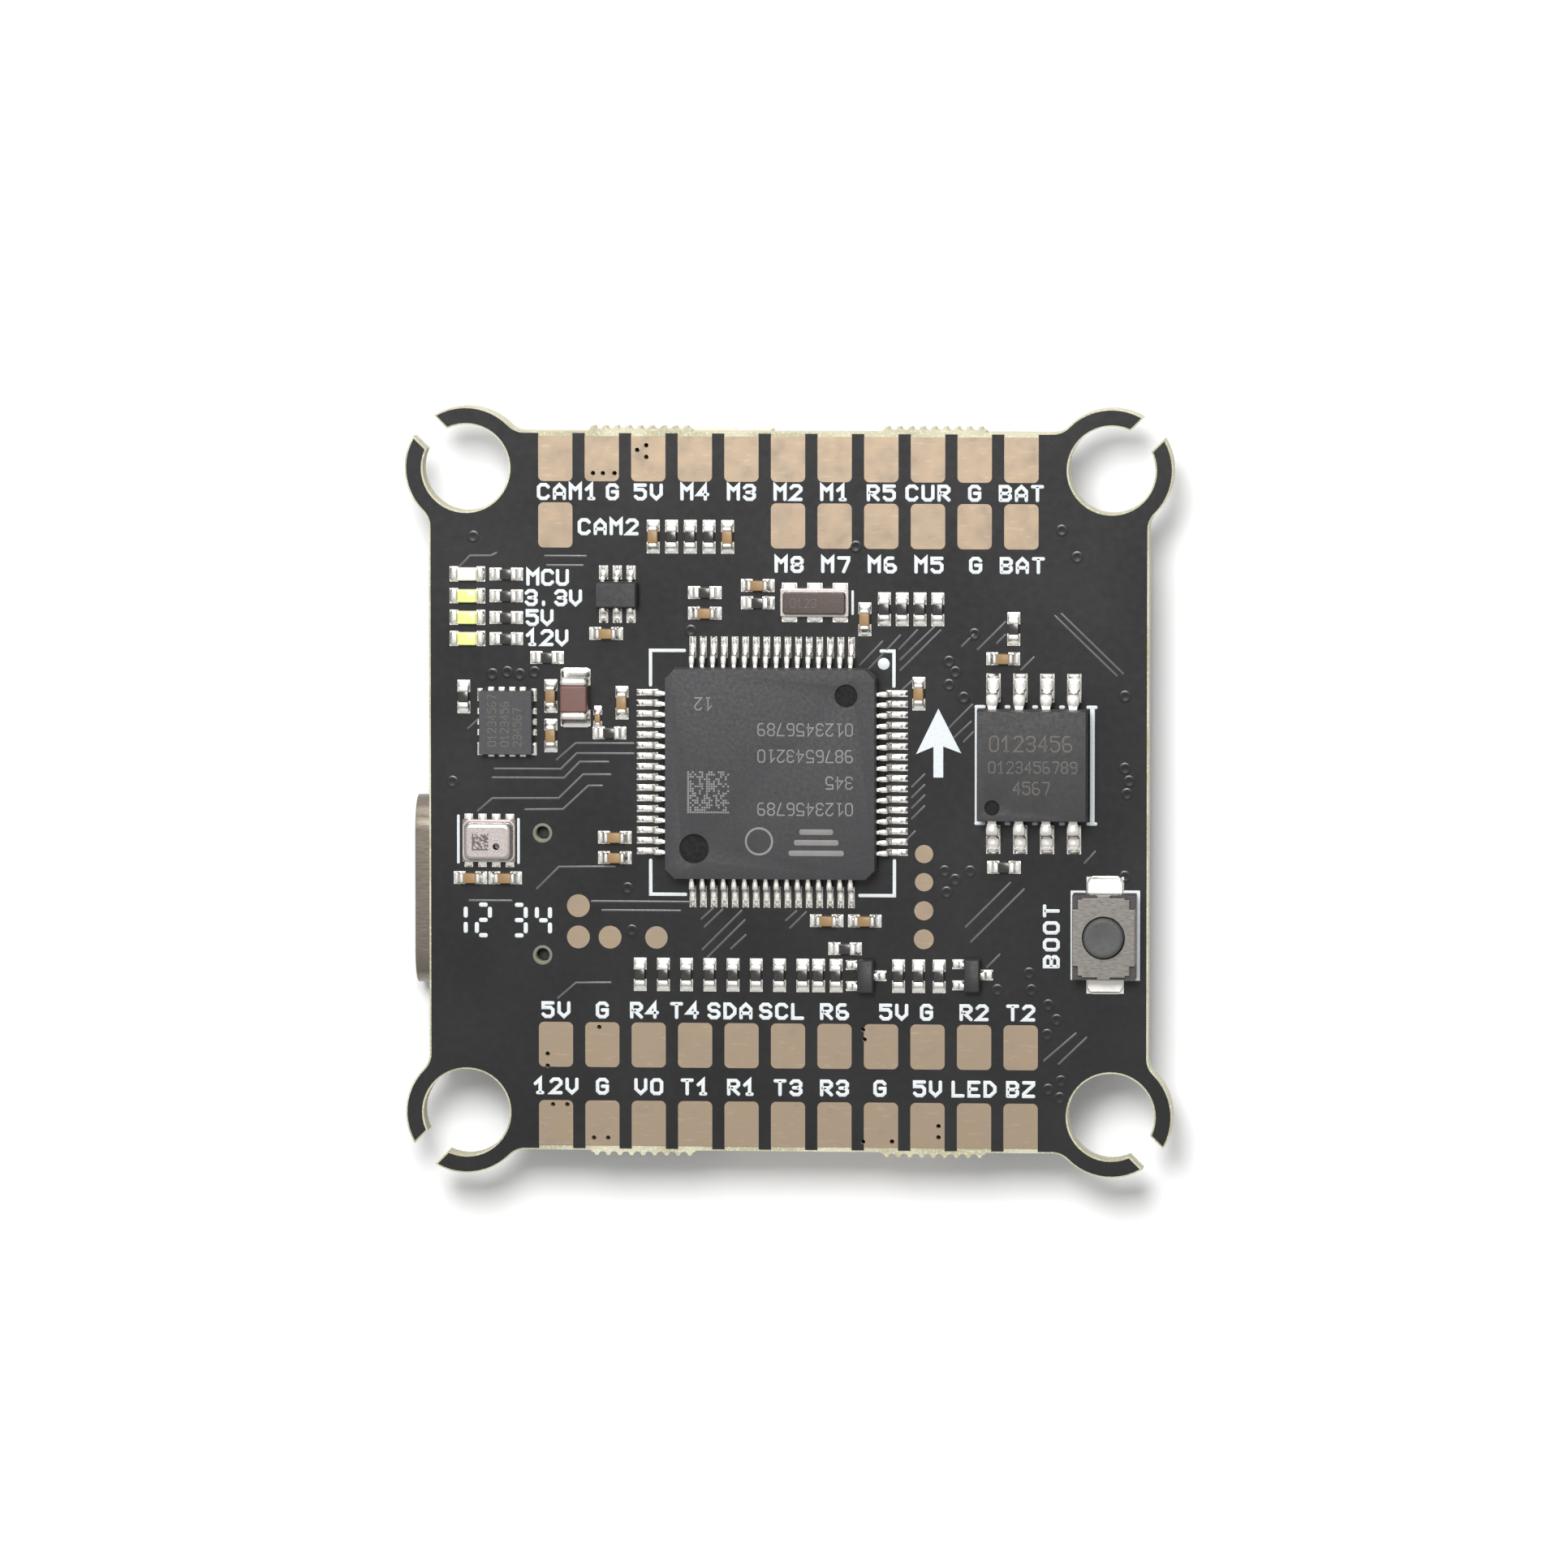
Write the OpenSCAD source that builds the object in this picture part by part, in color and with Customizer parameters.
// Flight controller board for a small multirotor: a square circuit board with four open corner
// ears, a processor, gyro, barometer, video and flash chips, wire pads along two edges, a BOOT
// button, and on its back a USB-C socket, two cable sockets, a video overlay chip and two
// voltage converters. Origin: middle of the four mounting holes, on the front face of the board.
// +Z points out of the front face and +Y is the direction of flight. All sizes in millimetres.

/* [Board] */
// Side of the square board, without its ears
board_side = 34; // [33.8:0.1:34.4]
// Thickness of the finished board, solder masks included
board_t = 1.6; // [1.2:0.1:2]
// How far the solder mask stops short of the board's edge
mask_pullback = 0.08; // [0.04:0.02:0.14]

/* [Mounting] */
// Spacing of the mounting holes, centre to centre
hole_spacing = 30.5; // [30.3:0.1:30.7]
// Diameter of each mounting hole, sized for a soft grommet
hole_d = 4.1; // [3.8:0.1:4.3]
// Outer diameter of the ear round each hole
ear_d = 5.8; // [5.6:0.1:6.2]
// Width of the slot that opens each ear along the diagonal
ear_slot = 1.38; // [1:0.02:1.6]
// Radius of the fillets that blend an ear into the board's edges
ear_fillet = 1; // [0.6:0.1:1.2]

/* [Wire pads] */
// Spacing of the wire pads along an edge
pad_pitch = 2.2; // [2.1:0.05:2.25]
// Width of a wire pad
pad_w = 1.62; // [1.4:0.02:1.7]
// Length of a wire pad, measured away from the edge
pad_l = 2.13; // [1.9:0.01:2.2]

/* [Processor] */
// Side of the processor's moulded body
mcu_side = 10; // [9.8:0.1:10.2]
// Height of the processor's moulded body
mcu_h = 1.4; // [1:0.1:1.6]

/* [Boot button] */
// Diameter of the button
button_d = 1.9; // [1.5:0.1:1.9]
// How far the button goes down
button_travel = 0.2; // [0.1:0.05:0.25]

/* [USB socket] */
// Width of the socket's shell
usb_w = 8.94; // [8.8:0.02:9.1]
// Height of the socket's shell
usb_h = 3.16; // [3.1:0.02:3.3]
// How far the shell stands out past the board's edge
usb_proud = 0.85; // [0.4:0.05:1.2]

/* [Cable sockets] */
// Contacts in the speed controller socket
esc_pins = 8; // [6, 8]
// Contacts in the video socket
video_pins = 6; // [4, 6]

/* [Hidden] */

$fn = 48;
eps = 0.01;

// Board layers. The masks are the outermost layers; copper stands a hair proud of them.
mask_t = 0.04;
copper_t = 0.05;
land_z = copper_t - mask_t;
half = board_side / 2;
hole_at = hole_spacing / 2;
hole_r = hole_d / 2;
ear_r = ear_d / 2;

// Wire pads
pad_r = 0.25;
pad_cols = 11;
edge_gap = 0.22;
edge_row = half - edge_gap - pad_l / 2;
inner_row_top = 12.58;
inner_row_bottom = -12;
second_row_cols = [0, 5, 6, 7, 8, 9, 10];
via_r = 0.11;
pad_vias = [[-9.22, 15.03], [-8.75, 15.03], [-8.2, 15.03], [-7.13, 16.13], [-6.7, 16.35],
    [-6.7, 15.8], [-11.4, -12.45], [-8.95, -11.17], [3.62, -11.67], [-11.15, -14.85],
    [-10.47, -14.85], [-9.2, -16.42], [-8.53, -16.42], [4.92, -16.5], [7.12, -15.75],
    [7.12, -16.28], [-11.4, -13.02], [3.55, -11.2], [3.55, -16.52]];
test_spots = [[-9.93, -5.42, 0.54], [-9.93, -6.9, 0.54], [-8.43, -6.9, 0.54],
    [-6.23, -6.9, 0.53], [6.43, -2.87, 0.43], [6.43, -4.2, 0.43], [6.42, -5.55, 0.45],
    [6.42, -6.9, 0.47]];

// Breakaway tabs: what is left of the webs that held the board in its panel
tab_pitch = 0.55;
tab_teeth = 9;
tab_proud = 0.24;
tab_hole_r = 0.2;
tab_starts_top = [-9.25, 4.65];
tab_starts_bottom = [-9.07, 4.67];

// Chip places on the front face
mcu_at = [-0.75, 0.95];
flash_at = [11.6, 1.42];
gyro_at = [-13.3, 3.27];
baro_at = [-14.15, -2.35];
resonator_at = [1.27, 8.98];
switch_at = [-8.07, 9.33];
tank_at = [-10.05, 4.43];
boot_at = [14.98, -6.65];
transistor_spots = [[3.7, -8.64], [8.73, -8.57]];
led_x = -15.17;
led_resistor_x = -13.33;
led_rows = [10.25, 9.22, 8.2, 7.2];

// Two-ended chips, as [x, y, turn]. Turn 0 lays a chip along X, and 90 along Y.
resistors_front = concat(
    [for (y = led_rows) [led_resistor_x, y, 0]],
    [for (i = [0:2]) [-5.5 + 0.885 * i, 12.05, 90]],
    [for (i = [0:3]) [4.55 + 0.84 * i, 8.68, 90]],
    [for (i = [0:7]) [-7 + 1.1 * i, -8.65, 90]],
    [for (x = [1.45, 2.28, 5.23, 6.18, 7.15]) [x, -8.65, 90]],
    [[-11.4, 6.32, 0], [-15.35, 4.45, 90], [-8.45, 2.77, 0], [-3.93, 9.42, 0],
     [-1.43, 8.95, 0], [10.65, 7.78, 90], [10.2, -3.47, 0], [2.7, -7.37, 0]]);
capacitors_front = [[-8.6, 7.47, 0], [-11.22, 4.5, 90], [-11.22, 2.63, 90], [-7.85, 4.2, 90],
    [-6.37, 12.05, 90], [-2.85, 12.05, 90], [-3.93, 8.45, 0], [-1.43, 9.77, 0],
    [3.63, 8.2, 90], [10.15, 6.37, 0], [6.18, 4.7, 90], [-15.05, -4.12, 0],
    [-13.4, -4.12, 0], [-8.2, -2.17, 0], [-8.2, -3.13, 0], [1.83, -6.05, 0],
    [3.63, -6.05, 0]];
tiny_capacitor_at = [-9, 3.47, 90];

// Chip places on the back face, in the same board coordinates
usb_y = -4.88;
esc_socket_at = [2, -half];
video_socket_at = [-5, half];
osd_at = [-4.4, 5.2];
crystal_at = [-12.2, 6.2];
inductor_spots = [[10.4, 9.2], [10.4, 1.6]];
converter_spots = [[5.4, 9.4], [5.4, 1.6]];
linear_regulator_at = [3.4, -6.2];
resistors_back = concat(
    [for (i = [0:7]) [-2 + 1.1 * i, -10.4, 90]],
    [for (i = [0:5]) [-8 + 1.1 * i, 10, 90]],
    [[5.4, 7.2, 0], [5.4, 3.9, 0], [5.4, -0.7, 0], [1.6, 9.4, 90], [1.6, 1.6, 90],
     [12.6, -5, 90], [13.7, -5, 90]]);
capacitors_back = [[-12.2, 8.3, 0], [-12.2, 4.1, 0], [1.6, 6.2, 90], [1.6, 4.1, 90],
    [-8.6, 0.8, 0], [-4.4, 0.8, 0], [0.4, -3.2, 90], [6.6, -6.2, 90], [-7, -2.2, 0],
    [-7, -3.5, 0], [-7, -4.8, 0], [9.6, -5, 90], [10.9, -5, 90]];
big_capacitors_back = [[14.9, 9.2, 90], [14.9, 1.6, 90], [10.4, 12.8, 0], [10.4, 5.4, 0],
    [3.6, 13, 0], [10.4, -2.2, 0]];

// Two-ended chip sizes: [length, width, height, end length]
size_resistor = [1, 0.5, 0.35, 0.25];
size_capacitor = [1, 0.5, 0.5, 0.23];
size_tiny = [0.6, 0.3, 0.3, 0.12];
size_tank = [2, 1.3, 1.25, 0.4];
size_led = [1.5, 0.62, 0.42, 0.28];
led_base_t = 0.18;

// Leaded chips: [body x, body y, body height, span over the leads, pitch, leads per side,
// lead width, lead thickness]
size_flash = [5.23, 5.28, 1.8, 7.9, 1.27, 4, 0.42, 0.2];
size_switch = [2, 1.25, 0.95, 2.1, 0.65, 3, 0.22, 0.13];
size_transistor = [0.8, 1.6, 0.7, 1.6, 1, 2, 0.25, 0.12];
size_osd = [9.7, 4.4, 1, 6.4, 0.65, 14, 0.24, 0.13];
size_converter = [2.92, 1.6, 1.1, 2.8, 0.95, 3, 0.4, 0.14];
chip_standoff = 0.1;
body_taper = 0.93;

// Processor leads
mcu_span = 12;
mcu_pitch = 0.5;
mcu_lead_w = 0.22;
mcu_lead_t = 0.15;
mcu_leads_per_side = 16;
mcu_corner = 0.45;

// Gyro, barometer and resonator
gyro_size = [2.5, 3, 0.86];
gyro_pitch = 0.5;
baro_size = [2.5, 2, 1];
baro_wall = 0.1;
baro_pitch = 0.65;
baro_vent_r = 0.15;
resonator_size = [3.25, 1.35, 0.72];
resonator_pitch = 1.2;

// Boot button
boot_base_size = [2.96, 4];
boot_floor_z = 0.5;
boot_base_top = 1.4;
boot_sheet = 0.15;
boot_well_r = 1.25;
boot_dome_h = 2 * button_travel;
boot_dome_t = 0.07;
boot_flange_r = 1.15;
boot_button_top = 1.95;
boot_terminal_w = 1.7;
boot_clearance = 0.05;

// USB-C socket
usb_l = 7.3;
usb_wall = 0.3;
usb_front = -half - usb_proud;
usb_peg_x = usb_front + 6.22;
usb_peg_gap = 5.78;
usb_peg_hole_r = 0.33;
usb_tongue_w = 6.69;
usb_tongue_t = 0.7;
usb_tongue_l = 4.9;
usb_contact_count = 12;
usb_contact_pitch = 0.5;
usb_block_l = 1.9;
usb_floor_x = 5.3;
usb_floor_w = 6.7;

// Cable sockets: 1 mm pitch, side entry, crimp contacts
socket_pitch = 1;
socket_side = 1.5;
socket_l = 4.2;
socket_h = 2.95;
socket_wall = 0.45;
socket_back = 1.2;

// Power parts
inductor_size = [4, 4, 2];
crystal_size = [3.2, 2.5, 0.7];

// ---------- helpers ----------

// Moves children to a place on the front face, standing on the copper
module on_front(at, turn = 0)
    translate([at[0], at[1], land_z]) rotate(turn) children();

// Moves children to a place on the back face, so that their own +Z points out of it
module on_back(at, turn = 0)
    translate([at[0], at[1], -board_t]) mirror([0, 0, 1])
        translate([0, 0, land_z]) rotate(turn) children();

module centred_box(size, z = 0)
    translate([-size[0] / 2, -size[1] / 2, z]) cube(size);

module rounded_rect(w, l, r) {
    square([w - 2 * r, l], center = true);
    square([w, l - 2 * r], center = true);
    for (x = [-1, 1], y = [-1, 1])
        translate([x * (w / 2 - r), y * (l / 2 - r)]) circle(r);
}

module cut_corner_rect(w, l, c)
    polygon([[-w / 2 + c, -l / 2], [w / 2 - c, -l / 2], [w / 2, -l / 2 + c],
        [w / 2, l / 2 - c], [w / 2 - c, l / 2], [-w / 2 + c, l / 2], [-w / 2, l / 2 - c],
        [-w / 2, -l / 2 + c]]);

// A moulded chip body: a band at lead height, with a tapering half above and below
module moulded_body(w, l, h, band_z, band_t, corner = 0.03) {
    top_h = h + chip_standoff - band_z - band_t;
    bottom_h = band_z - chip_standoff;
    translate([0, 0, band_z]) linear_extrude(band_t) cut_corner_rect(w, l, corner);
    translate([0, 0, band_z + band_t])
        linear_extrude(top_h, scale = 1 - (1 - body_taper) * 2.4 * top_h / w)
            cut_corner_rect(w, l, corner);
    translate([0, 0, band_z]) mirror([0, 0, 1])
        linear_extrude(bottom_h, scale = 1 - (1 - body_taper) * 2.4 * bottom_h / w)
            cut_corner_rect(w, l, corner);
}

// One bent lead that leaves a body at y = root and lands at y = tip, both from the middle
module bent_lead(root, tip, w, t, shoulder_z, foot_l) {
    knee = tip - foot_l;
    bend = root + (knee - root) * 0.45;
    translate([-w / 2, 0, 0]) rotate([90, 0, 90]) linear_extrude(w)
        polygon([[root, shoulder_z], [bend - t * 0.4, shoulder_z], [knee - t * 0.4, 0],
            [tip, 0], [tip, t], [knee + t * 0.6, t], [bend + t * 0.6, shoulder_z + t],
            [root, shoulder_z + t]]);
}

// A row of leads on both long sides of a chip of the given size list
module lead_rows(s, shoulder_z, foot_l)
    for (side = [0, 180], i = [0:s[5] - 1])
        rotate(side) translate([(i - (s[5] - 1) / 2) * s[4], 0, 0])
            bent_lead(s[1] / 2, s[3] / 2, s[6], s[7], shoulder_z, foot_l);

module chip_middle(s)
    centred_box([s[0] - 2 * s[3], s[1], s[2]]);

module chip_ends(s)
    for (x = [-1, 1]) translate([x * (s[0] - s[3]) / 2, 0, 0])
        centred_box([s[3], s[1], s[2]]);

// Copper lands under a two-ended chip, flat
module chip_lands(s, reach)
    for (x = [-1, 1]) translate([x * (s[0] / 2 - s[3] / 2 + reach / 2), 0])
        square([s[3] + reach + 0.06, s[1] + 0.1], center = true);

// Copper lands under the two lead rows of a chip, flat
module row_lands(s, land_l, land_w)
    for (y = [-1, 1], i = [0:s[5] - 1])
        translate([(i - (s[5] - 1) / 2) * s[4], y * (s[3] / 2 + 0.3 - land_l / 2)])
            square([land_w, land_l], center = true);

// ---------- board ----------

// The fillet between an ear and the board's edge at y = edge, in the corner x > 0, y > 0
module ear_blend(edge, ear_radius, fillet) {
    fillet_y = edge + fillet;
    reach = sqrt(pow(ear_radius + fillet, 2) - pow(fillet_y - hole_at, 2));
    fillet_x = hole_at - reach;
    touch = [hole_at - reach * ear_radius / (ear_radius + fillet),
        hole_at + (fillet_y - hole_at) * ear_radius / (ear_radius + fillet)];
    difference() {
        polygon([[fillet_x, edge - 0.5], [fillet_x, edge], touch, [hole_at, hole_at]]);
        translate([fillet_x, fillet_y]) circle(fillet);
    }
}

// The board's outline, drawn in by `inset` all round, with its grommet holes and ear slots
module board_outline(inset = 0) {
    difference() {
        union() {
            square(2 * (half - inset), center = true);
            for (a = [0:90:270]) rotate(a) {
                translate([hole_at, hole_at]) circle(ear_r - inset);
                ear_blend(half - inset, ear_r - inset, ear_fillet + inset);
                mirror([1, -1]) ear_blend(half - inset, ear_r - inset, ear_fillet + inset);
            }
        }
        for (a = [0:90:270]) rotate(a) translate([hole_at, hole_at]) {
            circle(hole_r + inset);
            rotate(45) translate([0, -ear_slot / 2 - inset])
                square([ear_d, ear_slot + 2 * inset]);
        }
    }
}

// One run of breakaway teeth along the edge at y = edge, starting at x = start
module breakaway_teeth(start, edge)
    difference() {
        translate([start - tab_pitch / 2, edge - 0.3])
            square([tab_teeth * tab_pitch, 0.3 + tab_proud]);
        for (i = [0:tab_teeth])
            translate([start + (i - 0.5) * tab_pitch, edge + tab_proud * 1.1])
                circle(tab_hole_r, $fn = 24);
    }

module pcb_board()
    color("#8b8462")
    translate([0, 0, -board_t + mask_t]) difference() {
        linear_extrude(board_t - 2 * mask_t) {
            board_outline();
            for (x = tab_starts_top) breakaway_teeth(x, half);
            for (x = tab_starts_bottom)
                mirror([0, 1]) breakaway_teeth(x, half);
        }
        for (p = pad_vias) translate([p[0], p[1], -eps]) cylinder(r = via_r, h = board_t);
        for (y = [-1, 1]) translate([usb_peg_x, usb_y + y * usb_peg_gap / 2, -eps])
            cylinder(r = usb_peg_hole_r, h = board_t);
    }

// ---------- wire pads ----------

// One wire pad. An edge pad has square outer corners, towards +Y.
module pad_shape(at_edge) {
    rounded_rect(pad_w, pad_l, pad_r);
    if (at_edge) translate([-pad_w / 2, 0]) square([pad_w, pad_l / 2]);
}

function pad_x(i) = (i - (pad_cols - 1) / 2) * pad_pitch;

module wire_pads() {
    for (i = [0:pad_cols - 1]) translate([pad_x(i), edge_row]) pad_shape(true);
    for (i = second_row_cols) translate([pad_x(i), inner_row_top]) pad_shape(false);
    for (i = [0:pad_cols - 1]) translate([pad_x(i), inner_row_bottom]) pad_shape(false);
    for (i = [0:pad_cols - 1]) translate([pad_x(i), -edge_row]) rotate(180) pad_shape(true);
}

module solder_pads()
    color("#cdb497") translate([0, 0, -mask_t]) difference() {
        linear_extrude(copper_t) wire_pads();
        for (p = pad_vias) translate([p[0], p[1], -eps]) cylinder(r = via_r, h = 1);
    }

module test_pads()
    color("#d9bd98") translate([0, 0, -mask_t])
        for (p = test_spots) translate([p[0], p[1]]) cylinder(r = p[2], h = copper_t);

// ---------- component lands and masks ----------

module lands_front() {
    for (p = resistors_front) translate([p[0], p[1]]) rotate(p[2])
        chip_lands(size_resistor, 0.26);
    for (p = capacitors_front) translate([p[0], p[1]]) rotate(p[2])
        chip_lands(size_capacitor, 0.26);
    translate([tiny_capacitor_at[0], tiny_capacitor_at[1]]) rotate(tiny_capacitor_at[2])
        chip_lands(size_tiny, 0.06);
    translate(tank_at) rotate(90) chip_lands(size_tank, 0.32);
    for (y = led_rows) translate([led_x, y]) chip_lands(size_led, 0.06);
    translate(mcu_at) for (a = [0:90:270], i = [0:mcu_leads_per_side - 1])
        rotate(a) translate([(i - (mcu_leads_per_side - 1) / 2) * mcu_pitch,
            mcu_span / 2 - 0.1]) square([0.3, 1], center = true);
    translate(flash_at) row_lands(size_flash, 1.35, 0.66);
    translate(switch_at) row_lands(size_switch, 0.65, 0.42);
    for (p = transistor_spots) translate(p) {
        for (y = [-1, 1]) translate([-0.68, y * size_transistor[4] / 2])
            square([0.56, 0.46], center = true);
        translate([0.68, 0]) square([0.56, 0.5], center = true);
    }
    translate(gyro_at) for (a = [0, 180]) rotate(a) {
        for (i = [0:3]) translate([(i - 1.5) * gyro_pitch, gyro_size[1] / 2 - 0.1])
            square([0.28, 0.5], center = true);
        for (i = [-1:1]) translate([gyro_size[0] / 2 - 0.1, i * gyro_pitch])
            square([0.5, 0.28], center = true);
        for (y = [-1, 1]) translate([gyro_size[0] / 2 + 0.03, y * 1.28])
            square([0.24, 0.6], center = true);
    }
    translate(baro_at) for (y = [-1, 1], i = [0:3])
        translate([(i - 1.5) * baro_pitch, y * (baro_size[1] / 2 + 0.02)])
            square([0.4, 0.48], center = true);
    translate(resonator_at) for (i = [-1:1]) translate([i * resonator_pitch, 0])
        square([0.72, resonator_size[1] + 0.5], center = true);
    translate(boot_at) for (y = [-1, 1]) translate([0, y * 2.3])
        square([boot_terminal_w + 0.06, 0.92], center = true);
}

module lands_back() {
    for (p = resistors_back) translate([p[0], p[1]]) rotate(p[2])
        chip_lands(size_resistor, 0.26);
    for (p = capacitors_back) translate([p[0], p[1]]) rotate(p[2])
        chip_lands(size_capacitor, 0.26);
    for (p = big_capacitors_back) translate([p[0], p[1]]) rotate(p[2])
        chip_lands(size_tank, 0.32);
    translate(osd_at) row_lands(size_osd, 1, 0.36);
    for (p = converter_spots) translate(p) row_lands(size_converter, 0.8, 0.6);
    translate(linear_regulator_at) row_lands(size_converter, 0.8, 0.6);
    for (p = inductor_spots) translate(p) for (x = [-1, 1])
        translate([x * 1.6, 0]) square([1.3, 3.2], center = true);
    translate(crystal_at) for (x = [-1, 1], y = [-1, 1])
        translate([x * 1.15, y * 0.9]) square([1.3, 1.1], center = true);
    translate(esc_socket_at) socket_lands(esc_pins);
    translate(video_socket_at) rotate(180) socket_lands(video_pins);
    translate([usb_front, usb_y]) {
        for (y = [-1, 1], x = [1.5, 5.3]) translate([x, y * (usb_w / 2 + 0.15)])
            square([1.5, 1.1], center = true);
        for (i = [0:usb_contact_count - 1])
            translate([usb_l + 0.35, (i - (usb_contact_count - 1) / 2) * usb_contact_pitch])
                square([1, 0.3], center = true);
    }
}

module socket_lands(pins) {
    for (i = [0:pins - 1]) translate([(i - (pins - 1) / 2) * socket_pitch, socket_l + 0.35])
        square([0.6, 1.3], center = true);
    for (x = [-1, 1])
        translate([x * (pins / 2 + 1.05), 1.3]) square([1.1, 1.9], center = true);
}

module component_lands_front()
    color("#c9c6c0") translate([0, 0, -mask_t]) linear_extrude(copper_t) lands_front();

module component_lands_back()
    color("#c9c6c0") translate([0, 0, -board_t - land_z])
        linear_extrude(copper_t) lands_back();

module solder_mask_front()
    color("#2b2b2c") translate([0, 0, -mask_t]) linear_extrude(mask_t) difference() {
        board_outline(mask_pullback);
        wire_pads();
        for (i = [0:pad_cols - 1], y = [-1, 1])
            translate([pad_x(i), y * half]) square([pad_w, 0.8], center = true);
        for (p = test_spots) translate([p[0], p[1]]) circle(p[2]);
        for (p = pad_vias) translate([p[0], p[1]]) circle(via_r);
        lands_front();
        for (y = [-1, 1]) translate([usb_peg_x, usb_y + y * usb_peg_gap / 2])
            circle(usb_peg_hole_r + 0.13);
    }

module solder_mask_back()
    color("#2b2b2c") translate([0, 0, -board_t]) linear_extrude(mask_t) difference() {
        board_outline(mask_pullback);
        lands_back();
        for (p = pad_vias) translate([p[0], p[1]]) circle(via_r + 0.1);
        for (y = [-1, 1]) translate([usb_peg_x, usb_y + y * usb_peg_gap / 2])
            circle(usb_peg_hole_r + 0.13);
    }

// ---------- front chips ----------

module mcu_body()
    color("#4b4b4d") on_front(mcu_at) difference() {
        moulded_body(mcu_side, mcu_side, mcu_h, 0.65, mcu_lead_t, mcu_corner);
        translate([3.6, 3.72, mcu_h + chip_standoff - 0.12]) cylinder(r = 0.54, h = 1);
        translate([-3.57, -3.52, mcu_h + chip_standoff - 0.12]) cylinder(r = 0.7, h = 1);
    }

module mcu_leads()
    color("#c4c1bc") on_front(mcu_at) for (a = [0:90:270], i = [0:mcu_leads_per_side - 1])
        rotate(a) translate([(i - (mcu_leads_per_side - 1) / 2) * mcu_pitch, 0, 0])
            bent_lead(mcu_side / 2, mcu_span / 2, mcu_lead_w, mcu_lead_t, 0.65, 0.5);

module flash_body()
    color("#454546") on_front(flash_at) difference() {
        moulded_body(size_flash[0], size_flash[1], size_flash[2], 0.9, size_flash[7]);
        translate([-1.85, -1.95, size_flash[2] + chip_standoff - 0.1])
            cylinder(r = 0.36, h = 1);
    }

module flash_leads()
    color("#c4c1bc") on_front(flash_at) lead_rows(size_flash, 0.9, 0.65);

module gyro_body()
    color("#58585b") on_front(gyro_at) centred_box(gyro_size);

// Contact pads on the gyro's underside show as small tabs at its sides
module gyro_pads()
    color("#d0cdc7") on_front(gyro_at) for (a = [0, 180]) rotate(a) {
        for (i = [0:3]) translate([(i - 1.5) * gyro_pitch - 0.12, gyro_size[1] / 2, 0])
            cube([0.24, 0.1, 0.16]);
        for (i = [-1:1]) translate([gyro_size[0] / 2, i * gyro_pitch - 0.12, 0])
            cube([0.1, 0.24, 0.16]);
    }

module baro_base()
    color("#7d7461") on_front(baro_at) centred_box([baro_size[0], baro_size[1], 0.26]);

module baro_die()
    color("#6e7480") on_front(baro_at)
        centred_box([1.1, 0.9, 0.3], 0.26);

module baro_lid() {
    lid_h = baro_size[2] - 0.26;
    color("#cfc8c2") on_front(baro_at) translate([0, 0, 0.26]) difference() {
        union() {
            linear_extrude(0.1) rounded_rect(baro_size[0], baro_size[1], 0.3);
            linear_extrude(lid_h)
                rounded_rect(baro_size[0] - 0.26, baro_size[1] - 0.26, 0.26);
        }
        translate([0, 0, -eps]) linear_extrude(lid_h - baro_wall + eps)
            rounded_rect(baro_size[0] - 0.26 - 2 * baro_wall,
                baro_size[1] - 0.26 - 2 * baro_wall, 0.16);
        translate([0.42, -0.22, 0]) cylinder(r = baro_vent_r, h = 2, $fn = 32);
    }
}

module resonator_base()
    color("#cfc8be") on_front(resonator_at)
        centred_box([resonator_size[0], resonator_size[1], resonator_size[2] * 0.5]);

module resonator_lid()
    color("#6d625c") on_front(resonator_at) translate([0, 0, resonator_size[2] * 0.5])
        linear_extrude(resonator_size[2] * 0.5)
            rounded_rect(resonator_size[0] - 0.3, resonator_size[1] - 0.3, 0.12);

module video_switch_body()
    color("#3c3b3a") on_front(switch_at)
        moulded_body(size_switch[0], size_switch[1], size_switch[2], 0.45, size_switch[7]);

module video_switch_leads()
    color("#d3d0ca") on_front(switch_at) lead_rows(size_switch, 0.45, 0.24);

module transistor_bodies()
    color("#464646") for (p = transistor_spots) on_front(p)
        moulded_body(size_transistor[0], size_transistor[1], size_transistor[2], 0.3,
            size_transistor[7]);

module transistor_leads() {
    s = size_transistor;
    color("#d3d0ca") for (p = transistor_spots) on_front(p) {
        for (y = [-1, 1]) translate([0, y * s[4] / 2, 0]) rotate(90)
            bent_lead(s[0] / 2, s[3] / 2, s[6], s[7], 0.3, 0.2);
        rotate(-90) bent_lead(s[0] / 2, s[3] / 2, s[6] + 0.05, s[7], 0.3, 0.2);
    }
}

// ---------- lamps ----------

module led_bases()
    color("#e9e6dc") for (y = led_rows) on_front([led_x, y])
        centred_box([size_led[0] - 2 * size_led[3], size_led[1], led_base_t]);

module led_terminals()
    color("#d8d3c6") for (y = led_rows, x = [-1, 1]) on_front([led_x, y])
        translate([x * (size_led[0] - size_led[3]) / 2, 0, 0])
            centred_box([size_led[3], size_led[1], led_base_t]);

module led_lens()
    centred_box([size_led[0] - 2 * size_led[3] - 0.06, size_led[1] - 0.02,
        size_led[2] - led_base_t], led_base_t);

module led_status_lens()
    color("#e6e0d8") on_front([led_x, led_rows[0]]) led_lens();

module led_power_lenses()
    color("#e9ee94") for (i = [1:3]) on_front([led_x, led_rows[i]]) led_lens();

// ---------- two-ended chips ----------

module resistor_bodies_front()
    color("#2c2a28") for (p = resistors_front) on_front(p, p[2]) chip_middle(size_resistor);

module resistor_ends_front()
    color("#cfccc6") for (p = resistors_front) on_front(p, p[2]) chip_ends(size_resistor);

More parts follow.
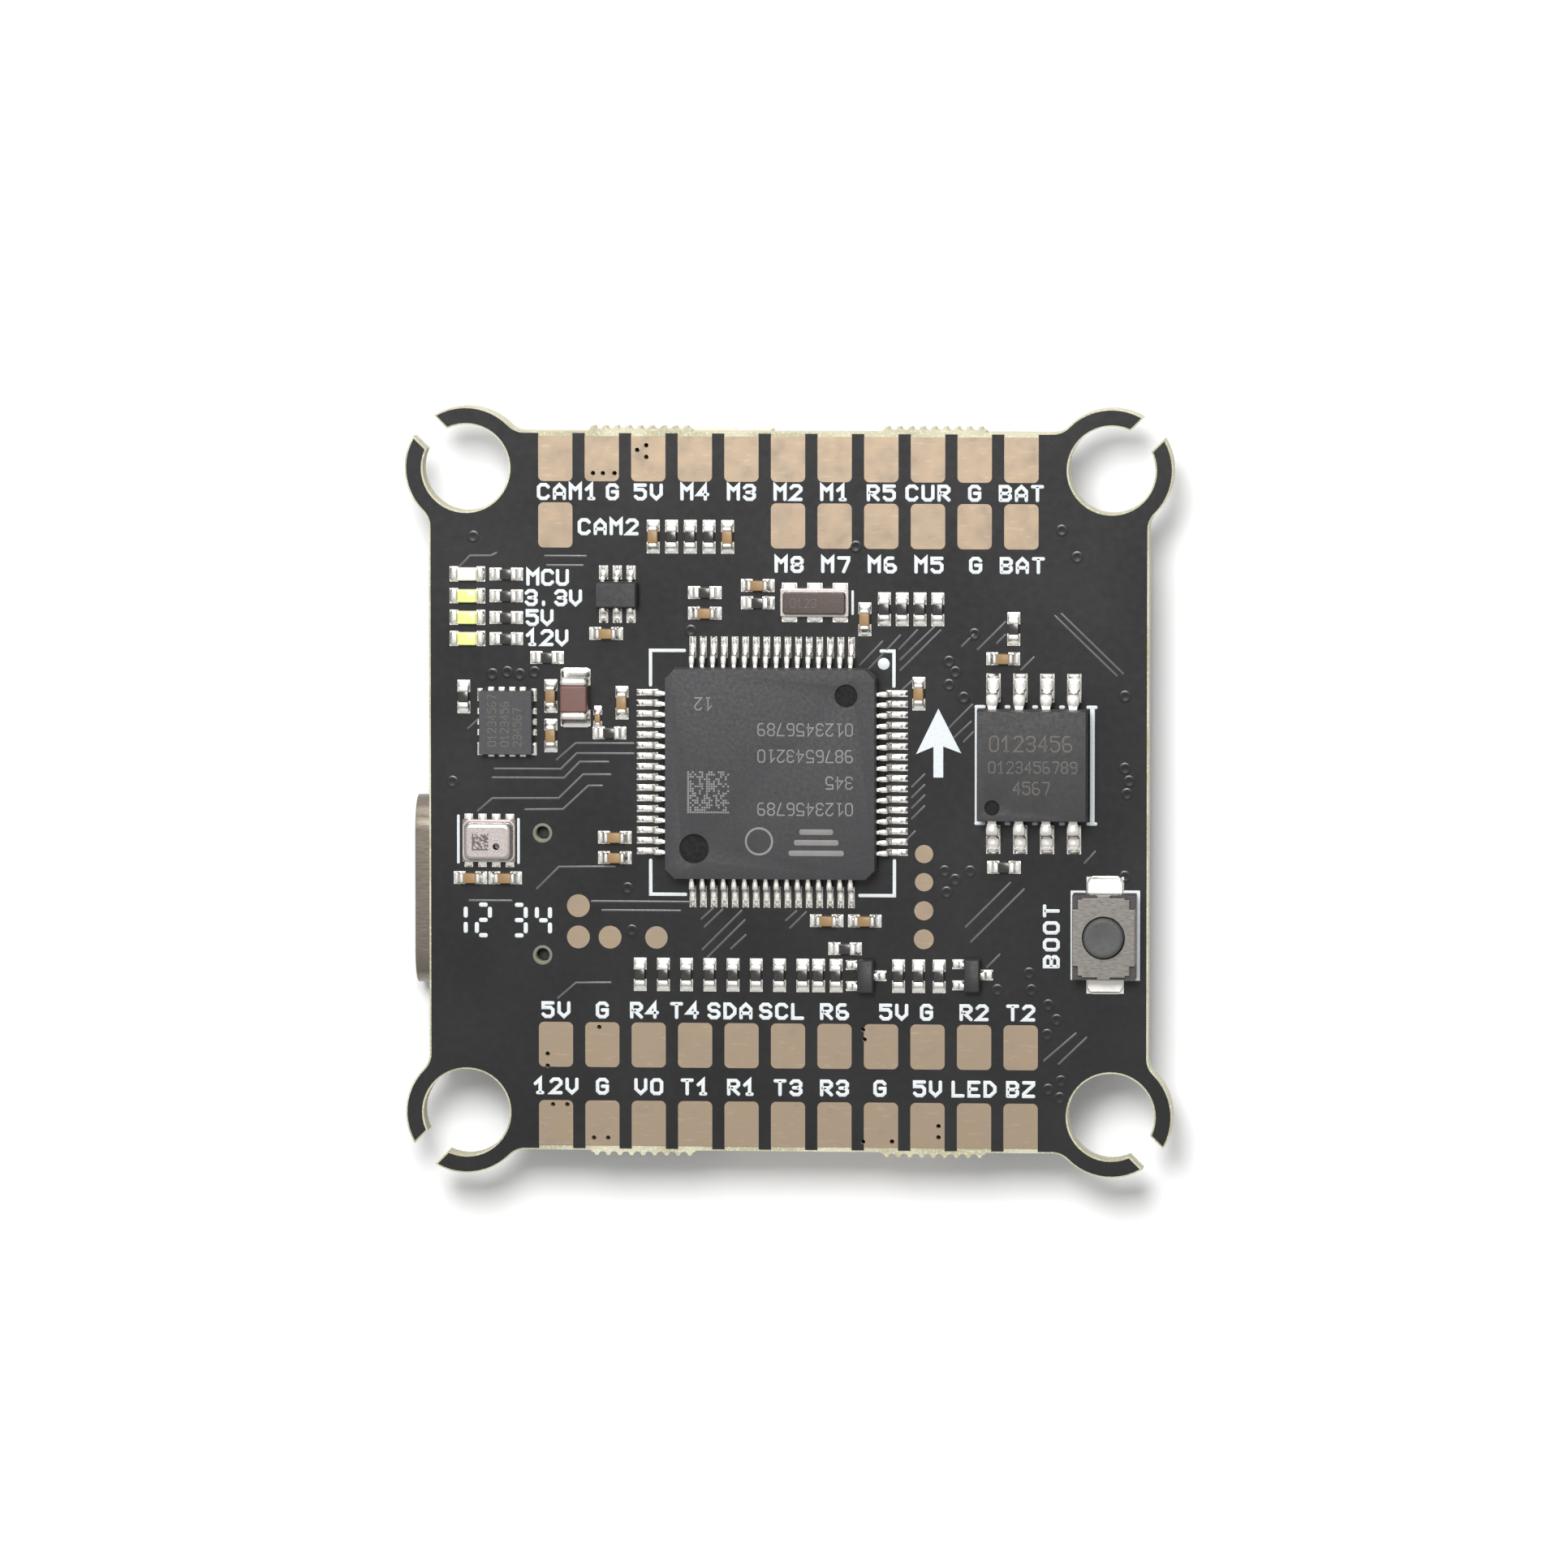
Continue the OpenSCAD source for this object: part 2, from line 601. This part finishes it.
module capacitor_bodies_front()
    color("#a98558") {
        for (p = capacitors_front) on_front(p, p[2]) chip_middle(size_capacitor);
        on_front(tiny_capacitor_at, tiny_capacitor_at[2]) chip_middle(size_tiny);
    }

module capacitor_ends_front()
    color("#cfccc6") {
        for (p = capacitors_front) on_front(p, p[2]) chip_ends(size_capacitor);
        on_front(tiny_capacitor_at, tiny_capacitor_at[2]) chip_ends(size_tiny);
    }

module tank_capacitor_body()
    color("#8d6a62") on_front(tank_at, 90) chip_middle(size_tank);

module tank_capacitor_ends()
    color("#cfccc6") on_front(tank_at, 90) chip_ends(size_tank);

// ---------- boot button ----------

// The two terminals run in under the base and rise through its floor as contact posts
module boot_terminal_shapes() {
    t = 0.13;
    for (side = [1, -1]) mirror([0, side > 0 ? 0 : 1, 0]) {
        post_y = side > 0 ? 0 : 0.88;
        translate([-boot_terminal_w / 2, boot_base_size[1] / 2 - 0.3, 0])
            cube([boot_terminal_w, 1, t]);
        translate([-0.35, post_y, 0])
            cube([0.7, boot_base_size[1] / 2 - 0.3 - post_y, t]);
        translate([0, post_y + (side > 0 ? 0 : 0.1), 0])
            cylinder(r = 0.2, h = boot_floor_z);
    }
}

module boot_base()
    color("#3a3836") on_front(boot_at) difference() {
        centred_box([boot_base_size[0], boot_base_size[1], boot_base_top]);
        translate([0, 0, boot_floor_z]) cylinder(r = boot_well_r, h = 2);
        boot_terminal_shapes();
        for (x = [-1, 1]) translate([x * (boot_base_size[0] / 2 - boot_sheet / 2), 0, 0])
            centred_box([boot_sheet, 2.7, 2], 0.3);
    }

module boot_terminals()
    color("#d6d3cd") on_front(boot_at) boot_terminal_shapes();

// A thin domed spring that rests on the floor of the well under the button
module boot_dome() {
    rim_r = 1.18;
    ball_r = (rim_r * rim_r + boot_dome_h * boot_dome_h) / (2 * boot_dome_h);
    color("#b9b6b0") on_front(boot_at) translate([0, 0, boot_floor_z]) intersection() {
        translate([0, 0, boot_dome_h - ball_r]) difference() {
            sphere(ball_r, $fn = 96);
            sphere(ball_r - boot_dome_t, $fn = 96);
        }
        cylinder(r = rim_r + 1, h = boot_dome_h + 1);
    }
}

module boot_button() {
    flange_z = boot_base_top - 0.28;
    color("#5f5d5c") on_front(boot_at) union() {
        translate([0, 0, boot_floor_z + boot_dome_h])
            cylinder(r = 0.4, h = flange_z - boot_floor_z - boot_dome_h + eps);
        translate([0, 0, flange_z]) cylinder(r = boot_flange_r, h = 0.25);
        translate([0, 0, flange_z]) cylinder(r = button_d / 2, h = boot_button_top - flange_z);
    }
}

// Sheet metal cover: a top plate with a hole for the button, two folded sides and cut corners
module boot_cover() {
    w = boot_base_size[0];
    l = boot_base_size[1];
    side_l = 2.7;
    tab_w = 0.64;
    color("#aaa59d") on_front(boot_at) union() {
        translate([0, 0, boot_base_top]) linear_extrude(boot_sheet) difference() {
            union() {
                square([w, side_l], center = true);
                square([w - 0.5, l - 0.4], center = true);
                square([w - 0.9, l - 0.24], center = true);
                square([tab_w, l], center = true);
            }
            circle(button_d / 2 + boot_clearance);
        }
        for (x = [-1, 1]) translate([x * (w - boot_sheet) / 2, 0, 0])
            centred_box([boot_sheet, side_l, boot_base_top - 0.3 + eps], 0.3);
    }
}

// ---------- USB-C socket ----------

// Its own frame: +X into the board from the mouth, Y across, +Z away from the board's back
module usb_place()
    translate([usb_front, usb_y, -board_t - land_z]) mirror([0, 0, 1]) children();

// The socket's rounded cross-section, grown inwards by `inset`, drawn about its own middle
module usb_section(inset) {
    r = usb_h / 2 - inset;
    square([usb_w - usb_h, 2 * r], center = true);
    for (x = [-1, 1]) translate([x * (usb_w - usb_h) / 2, 0]) circle(r, $fn = 64);
}

module usb_extrude(length)
    translate([0, 0, usb_h / 2]) rotate([90, 0, 90]) linear_extrude(length) children();

module usb_shell()
    color("#a39c94") usb_place() difference() {
        union() {
            usb_extrude(usb_l) usb_section(0);
            for (y = [-1, 1], x = [0.9, 4.7])
                translate([x, y * (usb_w / 2 - 0.1) - 0.35, 0])
                    cube([1.2, 0.7, usb_h / 2]);
        }
        translate([-eps, 0, 0]) usb_extrude(usb_l + 1) usb_section(usb_wall);
        translate([usb_floor_x, -usb_floor_w / 2, -1]) cube([usb_l, usb_floor_w, 1.45]);
    }

// One contact: a strip on each side of the tongue, joined behind it, and a tail on the board
module usb_contact(y) {
    w = 0.24;
    t = 0.08;
    mid = usb_h / 2;
    top = usb_tongue_t / 2;
    start = usb_l - usb_block_l - usb_tongue_l + 0.5;
    back = usb_l - 0.7;
    for (z = [mid + top - t, mid - top])
        translate([start, y - w / 2, z]) cube([back - start, w, t]);
    translate([back - t, y - w / 2, 0]) cube([t, w, mid + top]);
    translate([back - t, y - w / 2, 0]) cube([usb_l + 0.55 - back + t, w, 0.12]);
}

module usb_contact_set()
    for (i = [0:usb_contact_count - 1])
        usb_contact((i - (usb_contact_count - 1) / 2) * usb_contact_pitch);

module usb_contacts()
    color("#c9a860") usb_place() usb_contact_set();

module usb_mid_plate_shape()
    translate([usb_l - usb_block_l - usb_tongue_l + 0.25, -usb_tongue_w / 2 - 0.1,
        usb_h / 2 - 0.08]) cube([usb_tongue_l + 0.3, usb_tongue_w + 0.2, 0.16]);

module usb_mid_plate()
    color("#b5b0a8") usb_place() usb_mid_plate_shape();

module usb_housing()
    color("#262626") usb_place() difference() {
        union() {
            translate([usb_l - usb_block_l, 0, 0])
                usb_extrude(usb_block_l) usb_section(usb_wall);
            translate([usb_floor_x + 0.1, -usb_floor_w / 2 + 0.05, 0])
                cube([usb_block_l, usb_floor_w - 0.1, 0.6]);
            translate([usb_l - usb_block_l - usb_tongue_l, -usb_tongue_w / 2,
                usb_h / 2 - usb_tongue_t / 2])
                cube([usb_tongue_l + 0.1, usb_tongue_w, usb_tongue_t]);
            for (y = [-1, 1])
                translate([usb_peg_x - usb_front, y * usb_peg_gap / 2, -0.75])
                    cylinder(r = usb_peg_hole_r - 0.05, h = 1.4);
        }
        usb_contact_set();
        usb_mid_plate_shape();
    }

// ---------- cable sockets ----------

// Their own frame: mouth at y = 0 facing -Y, +Y into the board, +Z away from the board's back
module socket_place(at, turn)
    translate([at[0], at[1], -board_t - land_z]) mirror([0, 0, 1]) rotate(turn) children();

function socket_w(pins) = pins * socket_pitch + 2 * socket_side - socket_pitch;

module socket_housing(pins) {
    w = socket_w(pins);
    bay = w - 2 * socket_wall - 0.5;
    color("#e4dfd2") difference() {
        translate([-w / 2, 0, 0]) cube([w, socket_l, socket_h]);
        translate([-bay / 2, -1, socket_wall])
            cube([bay, socket_l - socket_back + 1, socket_h - 2 * socket_wall]);
        for (x = [-1, 1]) translate([x * (w / 2 - 1.5) - 0.3, -1, socket_h - 1])
            cube([0.6, 3.2, 2]);
        for (x = [-1, 1]) translate([x * (w / 2 - 0.125) - 0.125, 0.35, 0])
            translate([0, 0, -eps]) cube([0.25, 1.9, 0.9 + eps]);
        translate([-w / 2 + 1, socket_l - 0.7, 0.6]) cube([w - 2, 1, socket_h]);
        socket_pin_set(pins);
    }
}

module socket_pin_set(pins)
    for (i = [0:pins - 1]) translate([(i - (pins - 1) / 2) * socket_pitch, 0, 0]) {
        translate([-0.12, 0.6, 1.35]) cube([0.24, socket_l - 1.1, 0.3]);
        translate([-0.12, socket_l - 0.65, 0]) cube([0.24, 0.15, 1.65]);
        translate([-0.12, socket_l - 0.5, 0]) cube([0.24, 1.25, 0.15]);
    }

module socket_tab_pair(pins) {
    w = socket_w(pins);
    for (x = [0, 1]) mirror([x, 0, 0]) {
        translate([w / 2 - 0.25, 0.35, 0]) cube([0.25, 1.9, 0.9]);
        translate([w / 2, 0.65, 0]) cube([0.45, 1.3, 0.15]);
    }
}

module esc_socket_housing()
    socket_place(esc_socket_at, 0) socket_housing(esc_pins);

module esc_socket_pins()
    color("#c8b98a") socket_place(esc_socket_at, 0) socket_pin_set(esc_pins);

module esc_socket_tabs()
    color("#c9c6c0") socket_place(esc_socket_at, 0) socket_tab_pair(esc_pins);

module video_socket_housing()
    socket_place(video_socket_at, 180) socket_housing(video_pins);

module video_socket_pins()
    color("#c8b98a") socket_place(video_socket_at, 180) socket_pin_set(video_pins);

module video_socket_tabs()
    color("#c9c6c0") socket_place(video_socket_at, 180) socket_tab_pair(video_pins);

// ---------- back chips ----------

module osd_body()
    color("#3b3b3c") on_back(osd_at) difference() {
        moulded_body(size_osd[0], size_osd[1], size_osd[2], 0.45, size_osd[7]);
        translate([-4.1, -1.4, size_osd[2] + chip_standoff - 0.06]) cylinder(r = 0.3, h = 1);
    }

module osd_leads()
    color("#c4c1bc") on_back(osd_at) lead_rows(size_osd, 0.45, 0.55);

module crystal_base()
    color("#c6bda9") on_back(crystal_at) difference() {
        centred_box([crystal_size[0], crystal_size[1], 0.5]);
        centred_box([crystal_size[0] - 0.7, crystal_size[1] - 0.7, 1], 0.2);
    }

module crystal_blank()
    color("#dfe6e8") on_back(crystal_at)
        centred_box([crystal_size[0] - 1, crystal_size[1] - 1, 0.08], 0.2);

module crystal_lid()
    color("#bdb9b0") on_back(crystal_at) translate([0, 0, 0.5])
        linear_extrude(crystal_size[2] - 0.5)
            rounded_rect(crystal_size[0] - 0.2, crystal_size[1] - 0.2, 0.2);

module inductor_bodies()
    color("#55534f") for (p = inductor_spots) on_back(p) difference() {
        linear_extrude(inductor_size[2])
            cut_corner_rect(inductor_size[0], inductor_size[1], 0.35);
        inductor_terminal_shapes();
    }

module inductor_terminal_shapes()
    for (x = [-1, 1]) translate([x * (inductor_size[0] / 2 - 0.55), 0, 0])
        centred_box([1.1, 2.6, 0.15]);

module inductor_terminals()
    color("#c9c6c0") for (p = inductor_spots) on_back(p) inductor_terminal_shapes();

module regulator_bodies()
    color("#3b3b3c") for (p = concat(converter_spots, [linear_regulator_at])) on_back(p)
        moulded_body(size_converter[0], size_converter[1], size_converter[2], 0.5,
            size_converter[7]);

module regulator_leads()
    color("#c4c1bc") for (p = concat(converter_spots, [linear_regulator_at])) on_back(p)
        lead_rows(size_converter, 0.5, 0.35);

module resistor_bodies_back()
    color("#2c2a28") for (p = resistors_back) on_back(p, p[2]) chip_middle(size_resistor);

module resistor_ends_back()
    color("#cfccc6") for (p = resistors_back) on_back(p, p[2]) chip_ends(size_resistor);

module capacitor_bodies_back()
    color("#a98558") {
        for (p = capacitors_back) on_back(p, p[2]) chip_middle(size_capacitor);
        for (p = big_capacitors_back) on_back(p, p[2]) chip_middle(size_tank);
    }

module capacitor_ends_back()
    color("#cfccc6") {
        for (p = capacitors_back) on_back(p, p[2]) chip_ends(size_capacitor);
        for (p = big_capacitors_back) on_back(p, p[2]) chip_ends(size_tank);
    }

pcb_board();
solder_mask_front();
solder_mask_back();
solder_pads();
test_pads();
component_lands_front();
component_lands_back();
mcu_body();
mcu_leads();
flash_body();
flash_leads();
gyro_body();
gyro_pads();
baro_base();
baro_die();
baro_lid();
resonator_base();
resonator_lid();
video_switch_body();
video_switch_leads();
transistor_bodies();
transistor_leads();
led_bases();
led_terminals();
led_status_lens();
led_power_lenses();
resistor_bodies_front();
resistor_ends_front();
capacitor_bodies_front();
capacitor_ends_front();
tank_capacitor_body();
tank_capacitor_ends();
boot_base();
boot_terminals();
boot_dome();
boot_button();
boot_cover();
usb_shell();
usb_housing();
usb_contacts();
usb_mid_plate();
esc_socket_housing();
esc_socket_pins();
esc_socket_tabs();
video_socket_housing();
video_socket_pins();
video_socket_tabs();
osd_body();
osd_leads();
crystal_base();
crystal_blank();
crystal_lid();
inductor_bodies();
inductor_terminals();
regulator_bodies();
regulator_leads();
resistor_bodies_back();
resistor_ends_back();
capacitor_bodies_back();
capacitor_ends_back();
